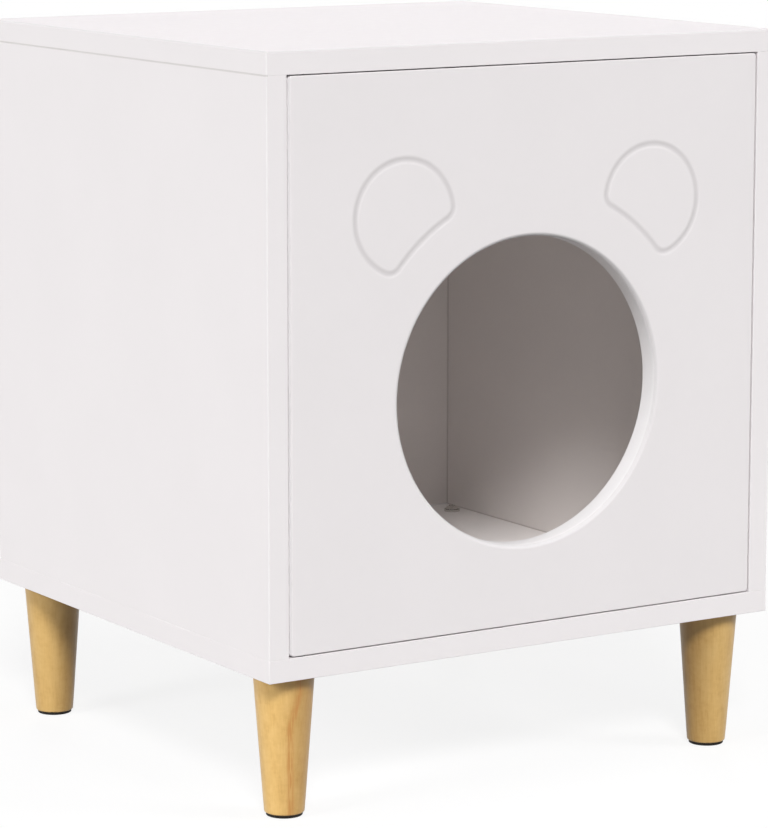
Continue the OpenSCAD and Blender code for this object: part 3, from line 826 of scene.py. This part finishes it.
def cutAtCorners(mesh, depth):
    # the faces are divided this far in from each side of the mesh's box; the long thin faces of
    # a rounded edge would otherwise carry the shading of one corner all the way to the next
    points = pointsOf(mesh)
    work = bmesh.new()
    work.from_mesh(mesh)
    for axis in range(3):
        for place in (points[:, axis].min() + depth, points[:, axis].max() - depth):
            at, along = Vector(), Vector()
            at[axis], along[axis] = place, 1.0
            everything = work.verts[:] + work.edges[:] + work.faces[:]
            bmesh.ops.bisect_plane(work, geom=everything, dist=cutWithin,
                                   plane_co=at, plane_no=along)
    work.to_mesh(mesh)
    work.free()


def shortened(mesh, low, high):
    # no point below or above the two heights
    points = pointsOf(mesh)
    points[:, 2] = np.clip(points[:, 2], low, high)
    moveTo(mesh, points)


bushGap = 0.0001  # between a bush's flange and the door's end
doorEnd = doorLook["growEnd"] + bushGap
shorter = {  # heights between which a bush stays: its flange ends where the door starts
    "pivot_bush_bottom": (0.0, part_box("door_panel")[0].z - doorEnd),
    "pivot_bush_top": (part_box("door_panel")[1].z + doorEnd, 1.0),
}
made = ("door_panel", "leg_front", "leg_rear", "foot_pad")
for name, node in nodes.items():
    # the CAD node's own shape, merged, so that its rounded edges shade evenly
    if not name.startswith(made):
        mesh = tidied(node.data.copy())
        if name in boardLook["crisp"]:
            lowest = boardLook["lowestRound" if name == "bottom_board" else "paintedRound"]
            crisper(mesh, boardLook, lowest)
            cutAtCorners(mesh, boardLook["cornerCut"])
        if name in shorter:
            shortened(mesh, *shorter[name])
        settle(mesh, name + "_finished", name, finishes[slots[name]], boardLook["sharp"])
print("boards and fittings finished")

stageLook = {
    "floorHalf": 6.0,
    "floorGap": 0.0002,         # between the floor and the pads
    "floorSeen": (254, 254, 254),
    "floorBounce": (130, 129, 128),  # what the floor throws back onto the cat house
    "floorGlow": (0.84, 1.0),   # share of plain white that the camera sees, near and far
    "glowReach": (0.35, 1.2),
    "worldColour": (255, 254, 254),
    "worldLight": 0.02,
}
lamps = {  # soft boxes far away: turned from the front to the left, and up, in degrees
    "key": {"turn": 28, "up": 38, "spread": 14, "strength": 2.18},
    "fill": {"turn": 30, "up": 6, "spread": 50, "strength": 0.30, "mirrored": True},
    "left": {"turn": 85, "up": 24, "spread": 20, "strength": 1.45},
    "backLeft": {"turn": 110, "up": 25, "spread": 30, "strength": 0.48},
    "right": {"turn": -50, "up": 28, "spread": 24, "strength": 1.28},
    "rear": {"turn": -148, "up": 3, "spread": 24, "strength": 2.8},
}
cabinFill = {  # the light that goes on bouncing inside the cabin
    "at": (0.0, 0.0, 0.4825),
    "size": 0.30,
    "power": 0.070,
}
cameraLook = {
    "at": (-1.3823, -2.1800, 0.6652),
    "yaw": 32.520,
    "down": 9.674,
    "lens": 162.36,
    "sensor": 36.0,
}


def seenRays(wire):
    # 1 for rays from the camera, a mirror or glass
    rays = wire.node("ShaderNodeLightPath", None, None, "Is Camera Ray")
    return rays.maths("MAXIMUM", rays.other("Is Glossy Ray")).maths(
        "MAXIMUM", rays.other("Is Transmission Ray"))


def makeFloor(look):
    # matt card that glows for the camera, less near the cat house so that its shadow shows
    half, z = look["floorHalf"], -look["floorGap"]
    corners = [(-half, -half, z), (half, -half, z), (half, half, z), (-half, half, z)]
    mesh = bpy.data.meshes.new("floor")
    mesh.from_pydata(corners, [], [(0, 1, 2, 3)])
    finish = bpy.data.materials.new("floorCard")
    finish.use_nodes = True
    tree = finish.node_tree
    tree.nodes.clear()
    output = tree.nodes.new("ShaderNodeOutputMaterial")
    place = Wire(tree, tree.nodes.new("ShaderNodeTexCoord").outputs["Object"])
    away = place.node("ShaderNodeVectorMath", {"operation": "LENGTH"}, {0: place}, "Value")
    seen = seenRays(place)
    nearShare, farShare = look["floorGlow"]
    glow = (away.rise(*look["glowReach"]) * (farShare - nearShare) + nearShare) * seen
    tone = seen.tint(ink(look["floorBounce"]), ink(look["floorSeen"]))
    matt = place.node("ShaderNodeBsdfDiffuse", None, {"Color": tone})
    white = place.node("ShaderNodeEmission", None, {"Strength": 1.0})
    mixed = place.node("ShaderNodeMixShader", None, {0: glow, 1: matt, 2: white})
    mixed.feed(output, "Surface")
    mesh.materials.append(finish)
    floor = bpy.data.objects.new("floor", mesh)
    bpy.context.scene.collection.objects.link(floor)


def makeWorld(look):
    # soft light from all round; plain white to the camera
    world = bpy.data.worlds.new("studio")
    bpy.context.scene.world = world
    world.use_nodes = True
    tree = world.node_tree
    tree.nodes.clear()
    output = tree.nodes.new("ShaderNodeOutputWorld")
    start = Wire(tree, tree.nodes.new("ShaderNodeTexCoord").outputs["Object"])
    light = start.node("ShaderNodeBackground", None,
                       {"Color": ink(look["worldColour"]), "Strength": look["worldLight"]})
    white = start.node("ShaderNodeBackground", None, {"Color": (1, 1, 1, 1), "Strength": 1.0})
    mixed = start.node("ShaderNodeMixShader", None, {0: seenRays(start), 1: light, 2: white})
    mixed.feed(output, "Surface")


def makeLamp(name, look):
    # only a mirrored lamp shows in reflections, so that the satin top stays below white
    lamp = bpy.data.lights.new(name, "SUN")
    lamp.energy = look["strength"]
    lamp.angle = math.radians(look["spread"])
    holder = bpy.data.objects.new(name, lamp)
    bpy.context.scene.collection.objects.link(holder)
    holder.visible_glossy = look.get("mirrored", False)
    turn, up = math.radians(look["turn"]), math.radians(look["up"])
    away = 3.0
    holder.location = (-away * math.cos(up) * math.sin(turn),
                       -away * math.cos(up) * math.cos(turn), away * math.sin(up))
    holder.rotation_euler = (math.pi / 2 - up, 0, -turn)


def makeCabinFill(look):
    # a soft panel under the top board, facing down
    lamp = bpy.data.lights.new("cabinFill", "AREA")
    lamp.energy = look["power"]
    lamp.size = look["size"]
    holder = bpy.data.objects.new("cabinFill", lamp)
    holder.visible_camera = False
    holder.visible_glossy = False
    bpy.context.scene.collection.objects.link(holder)
    holder.location = look["at"]


def makeCamera(look):
    camera = bpy.data.cameras.new("camera")
    camera.lens = look["lens"]
    camera.sensor_width = look["sensor"]
    camera.dof.use_dof = False
    holder = bpy.data.objects.new("camera", camera)
    bpy.context.scene.collection.objects.link(holder)
    holder.location = look["at"]
    holder.rotation_euler = (math.radians(90 - look["down"]), 0, math.radians(-look["yaw"]))
    bpy.context.scene.camera = holder


makeFloor(stageLook)
makeWorld(stageLook)
for name, look in lamps.items():
    makeLamp(name, look)
makeCabinFill(cabinFill)
makeCamera(cameraLook)
bpy.context.scene.view_settings.view_transform = "Standard"
print("stage, lamps and camera set")
